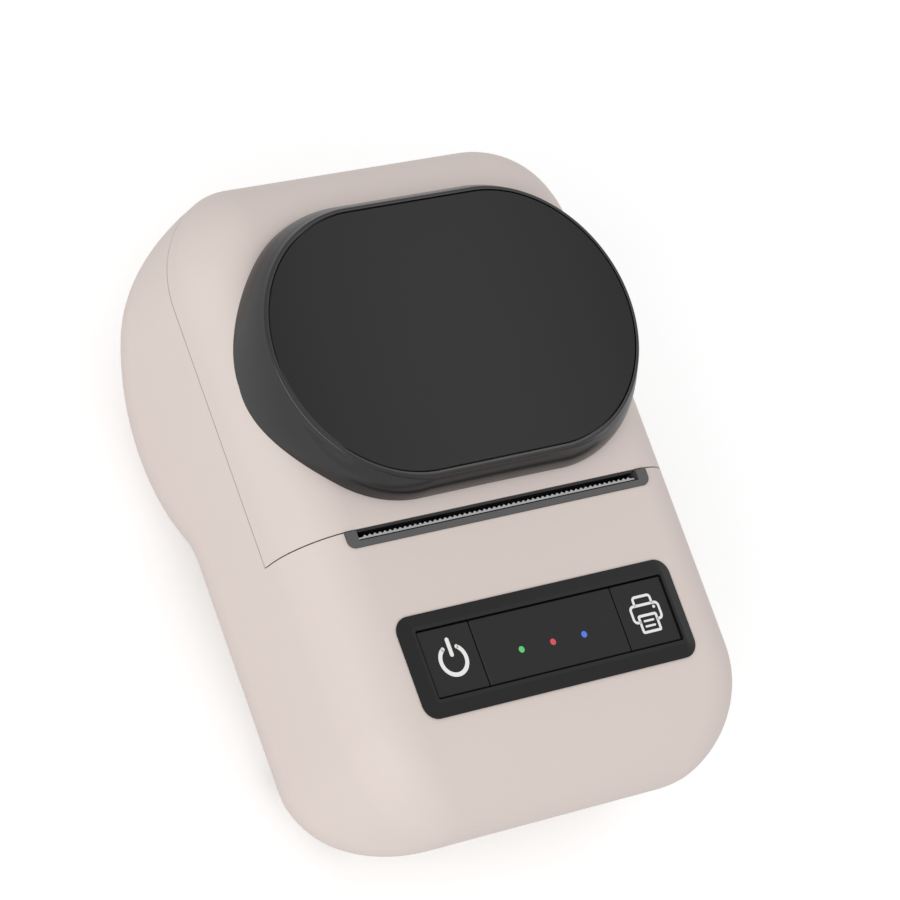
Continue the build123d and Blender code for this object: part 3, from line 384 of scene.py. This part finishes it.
# Slot surround
# Dark grey moulding with a crisp raised lip, set in the front deck.
# The black strip that closes the slot from behind is on the cover's front edge.
slate = moulded_plastic(
    "slate_plastic", (0.085, 0.085, 0.085), roughness=0.42, grain=6000.0, grain_depth=0.00001
)
slot_black = moulded_plastic(
    "slot_black", (0.01, 0.01, 0.01), roughness=0.5, grain=6000.0, grain_depth=0.00001
)
dress(slate, "slot_bezel")
dress(slot_black, "slot_lip")

# Tear bar
# Thin stainless strip with a serrated edge that points to the rear.
# It stands in a holder of the slot's surround.
dress(metal("tear_bar_steel", (0.42, 0.42, 0.43), roughness=0.38), "tear_bar")

# Key board
# Small green board under the panel, made as the main board is.
# A black switch lies under each key, and a pale lamp under each light pipe.
dress(board_green, "key_board")
dress(soft_black, "tact_switches")
dress(ceramic, "led_chips")

# Control panel
# Raised black moulded frame with sloping sides, set on the front deck.
# The two keys and the bare plate between them are let into it.
panel_black = moulded_plastic(
    "panel_black", (0.013, 0.013, 0.014), roughness=0.42, grain=6500.0, grain_depth=0.000008, shine=0.25
)
dress(panel_black, "control_panel", "status_plate", "power_key", "feed_key")

# Power symbol
# White print on the left key: a broken ring and an upright bar with round ends.
# It is a thin film of ink on the key's face.
ink = moulded_plastic("white_ink", (0.86, 0.86, 0.85), roughness=0.5, grain=4000.0, grain_depth=0.000004)
ink_lift = 0.00003
ink_thickness = 0.00004
key_face = 0.001
power_centre = Vector((-0.0215, -0.0252, key_face + ink_lift))
stroke = 0.0008
ring_radius = 0.0027
ring_points = 96
ring_gap = math.radians(34)
end_points = 32
bar_y = 0.0024
bar_height = 0.0036
bar_corner = stroke * 0.49
corner_steps = 6


def lay_print(name, centre, body):
    """Merge the selected flat shapes into one film of ink, at its place on a key."""
    bpy.ops.object.join()
    film = bpy.context.object
    film.name = name
    bpy.ops.object.transform_apply(location=True, rotation=True, scale=True)
    solid = film.modifiers.new("film", "SOLIDIFY")
    solid.thickness = ink_thickness
    solid.offset = 1.0
    bpy.ops.object.modifier_apply(modifier=solid.name)
    film.data.transform(deck_matrix @ Matrix.Translation(centre))
    film.data.materials.clear()
    film.data.materials.append(ink)
    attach(film, body)


def cut_away(shape, keep):
    """Take the faces off a flat shape whose centres don't pass the test."""
    bpy.ops.object.mode_set(mode="OBJECT")
    for face in shape.data.polygons:
        face.select = not keep(face.center)
    bpy.ops.object.mode_set(mode="EDIT")
    bpy.ops.mesh.select_mode(type="FACE")
    bpy.ops.mesh.delete(type="FACE")
    bpy.ops.object.mode_set(mode="OBJECT")


def flat_ring(outer, inner, keep):
    """A flat ring round the origin; keep says which of its faces stay, by their centre."""
    bpy.ops.mesh.primitive_circle_add(
        vertices=ring_points, radius=outer, fill_type="NGON", location=(0, 0, 0)
    )
    ring = bpy.context.object
    bpy.ops.object.mode_set(mode="EDIT")
    bpy.ops.mesh.inset(thickness=outer - inner)
    bpy.ops.mesh.delete(type="FACE")
    cut_away(ring, keep)
    return ring


def flat_bar(x, y, width, height, corner):
    """A flat rectangle with round corners."""
    bpy.ops.mesh.primitive_plane_add(size=1.0, location=(x, y, 0))
    bar = bpy.context.object
    bar.scale = (width, height, 1.0)
    bpy.ops.object.transform_apply(location=False, rotation=False, scale=True)
    bpy.ops.object.mode_set(mode="EDIT")
    bpy.ops.mesh.select_all(action="SELECT")
    bpy.ops.mesh.bevel(offset=corner, segments=corner_steps, affect="VERTICES", clamp_overlap=True)
    bpy.ops.object.mode_set(mode="OBJECT")
    return bar


def outside_gap(centre):
    """Whether a place on the ring is clear of the gap at its top."""
    return abs(math.atan2(centre.x, centre.y)) > ring_gap


bpy.ops.object.select_all(action="DESELECT")
symbol = [flat_ring(ring_radius + stroke / 2, ring_radius - stroke / 2, outside_gap)]
for side in (-1, 1):
    bpy.ops.mesh.primitive_circle_add(
        vertices=end_points,
        radius=stroke / 2,
        fill_type="NGON",
        location=(side * ring_radius * math.sin(ring_gap), ring_radius * math.cos(ring_gap), 0),
    )
    symbol.append(bpy.context.object)
symbol.append(flat_bar(0.0, bar_y, stroke, bar_height, bar_corner))
bpy.ops.object.select_all(action="DESELECT")
for shape in symbol:
    shape.select_set(True)
lay_print("power_symbol", power_centre, "key_power")

# Printer pictogram
# White print on the right key: a sheet feeding through a plain box outline.
# It is the same film of ink as on the left key.
feed_centre = Vector((0.0216, -0.0252, key_face + ink_lift))
line = 0.0005
sheet_width = 0.0044
sheet_gap = 0.0018
sheet_start = 0.0017
row_width = 0.0024
row_height = 0.0004
row_corner = 0.00019
light_size = 0.0006
light_corner = 0.00029


def flat_frame(x, y, width, height, corner, keep):
    """Outline of a rounded rectangle; keep says which of its faces stay, by their centre."""
    outline = flat_bar(x, y, width, height, corner)
    bpy.ops.object.transform_apply(location=True, rotation=False, scale=False)
    bpy.ops.object.mode_set(mode="EDIT")
    bpy.ops.mesh.select_all(action="SELECT")
    bpy.ops.mesh.inset(thickness=line)
    bpy.ops.mesh.delete(type="FACE")
    for cut_x in (-sheet_gap, sheet_gap):
        bpy.ops.mesh.select_all(action="SELECT")
        bpy.ops.mesh.bisect(plane_co=(cut_x, 0, 0), plane_no=(1, 0, 0))
    bpy.ops.mesh.select_all(action="DESELECT")
    cut_away(outline, keep)
    return outline


def above_box(centre):
    """Whether a place on the ingoing sheet stands out above the box."""
    return centre.y > sheet_start


def beside_sheet(centre):
    """Whether a place on the box is clear of the sheet that comes out below."""
    return centre.y > 0.0 or abs(centre.x) > sheet_gap


def anywhere(centre):
    """Every place on the outgoing sheet."""
    return True


sheet_in = flat_frame(x=0.0, y=0.0024, width=sheet_width, height=0.0024, corner=0.0008, keep=above_box)
box = flat_frame(x=0.0, y=0.0002, width=0.0068, height=0.0036, corner=0.0010, keep=beside_sheet)
sheet_out = flat_frame(x=0.0, y=-0.0018, width=sheet_width, height=0.0036, corner=0.0005, keep=anywhere)
upper_row = flat_bar(x=0.0, y=-0.0013, width=row_width, height=row_height, corner=row_corner)
lower_row = flat_bar(x=0.0, y=-0.0023, width=row_width, height=row_height, corner=row_corner)
box_light = flat_bar(x=0.0021, y=0.0010, width=light_size, height=light_size, corner=light_corner)
bpy.ops.object.select_all(action="DESELECT")
for shape in (sheet_in, box, sheet_out, upper_row, lower_row, box_light):
    shape.select_set(True)
bpy.context.view_layer.objects.active = sheet_in
lay_print("printer_pictogram", feed_centre, "key_feed")

# Lights
# Green, red and blue light pipes of tinted, diffusing plastic.
# They are set in the plate between the keys, over the lamps on the key board.
lens_glow = 0.35


def lens(name, colour):
    """Tinted plastic with a faint light of its own colour behind it."""
    material = moulded_plastic(name, colour, roughness=0.25, grain=3000.0, grain_depth=0.000005)
    shader = material.node_tree.nodes["Principled BSDF"]
    shader.inputs["Emission Color"].default_value = list(colour) + [1.0]
    shader.inputs["Emission Strength"].default_value = lens_glow
    return material


dress(lens("green_lens", (0.05, 0.45, 0.1)), "light_green")
dress(lens("red_lens", (0.5, 0.03, 0.04)), "light_red")
dress(lens("blue_lens", (0.04, 0.12, 0.6)), "light_blue")

# Feet
# Four black moulded rubber feet, set in shallow sockets under the tub.
# The machine stands on them alone.
dress(rubber, "rubber_feet")

# Table and backdrop
# A plain white table in an even white room, with a wide soft box on the left and a small one
# high on the right. The table lies a hair below the feet, and looks paler to the camera alone.
table_size = 6.0
table_drop = 0.00005
table_glow = 0.3
room_strength = 0.72
bpy.ops.object.select_all(action="DESELECT")
bpy.ops.mesh.primitive_plane_add(size=table_size, location=(0.0, 0.0, 0.0))
table_top = bpy.context.object
table_top.data.transform(Matrix.Translation((0.0, 0.0, -table_drop)))
table_top.name = "table_top"
paper_white = bpy.data.materials.new("paper_white")
paper_white.use_nodes = True
table_nodes = paper_white.node_tree.nodes
table_links = paper_white.node_tree.links
table_shader = table_nodes["Principled BSDF"]
table_shader.inputs["Base Color"].default_value = (0.9, 0.9, 0.9, 1)
table_shader.inputs["Roughness"].default_value = 0.9
table_shader.inputs["Specular IOR Level"].default_value = 0.0
seen = table_nodes.new("ShaderNodeLightPath")
glow = table_nodes.new("ShaderNodeEmission")
glow.inputs["Strength"].default_value = table_glow
both = table_nodes.new("ShaderNodeAddShader")
pick = table_nodes.new("ShaderNodeMixShader")
table_links.new(table_shader.outputs["BSDF"], both.inputs[0])
table_links.new(glow.outputs["Emission"], both.inputs[1])
table_links.new(seen.outputs["Is Camera Ray"], pick.inputs["Fac"])
table_links.new(table_shader.outputs["BSDF"], pick.inputs[1])
table_links.new(both.outputs["Shader"], pick.inputs[2])
table_links.new(pick.outputs["Shader"], table_nodes["Material Output"].inputs["Surface"])
table_top.data.materials.append(paper_white)

world = bpy.data.worlds.new("studio")
bpy.context.scene.world = world
world.use_nodes = True
world.node_tree.nodes["Background"].inputs["Color"].default_value = (1, 1, 1, 1)
world.node_tree.nodes["Background"].inputs["Strength"].default_value = room_strength


def soft_box(name, place, aim, size, energy):
    """A rectangular lamp that looks at a point."""
    lamp = bpy.data.lights.new(name, "AREA")
    lamp.shape = "RECTANGLE"
    lamp.size, lamp.size_y = size
    lamp.energy = energy
    holder = bpy.data.objects.new(name, lamp)
    bpy.context.collection.objects.link(holder)
    holder.location = place
    holder.rotation_euler = (Vector(aim) - Vector(place)).to_track_quat("-Z", "Y").to_euler()


soft_box("key_light", place=(-0.85, -0.42, 0.62), aim=(0, 0, 0.03), size=(1.3, 0.3), energy=4.4)
soft_box("rear_light", place=(0.35, 0.02, 0.55), aim=(0, 0.01, 0.05), size=(0.34, 0.1), energy=0.16)

# Camera
# Placed as the photograph was taken: high on the left and far off, looking down and across.
# Its axes are given in the deck's frame. Its focal length, and where the deck's origin lies
# right of and below the picture's middle, are given in pixels.
frame_pixels = 900.0
focal_pixels = 4547.09
pixels_per_metre = 5600.0
origin_right = 48.0
origin_below = 58.0
shift_left = 0.00058
film_width = 36.0
camera_data = bpy.data.cameras.new("camera")
camera_data.sensor_width = film_width
camera_data.lens = focal_pixels / frame_pixels * film_width
camera_data.clip_start = 0.05
camera = bpy.data.objects.new("camera", camera_data)
bpy.context.collection.objects.link(camera)
right = Vector((0.8053, -0.3344, 0.4896))
below = Vector((-0.1674, -0.9204, -0.3533))
ahead = Vector((0.5688, 0.2026, -0.7972))
axes = Matrix((right, -below, -ahead)).transposed().to_4x4()
eye = -(right * origin_right + below * origin_below + ahead * focal_pixels) / pixels_per_metre
eye.x -= shift_left
camera.matrix_world = deck_matrix @ Matrix.Translation(eye) @ axes
bpy.context.scene.camera = camera
bpy.context.scene.view_settings.view_transform = "Standard"
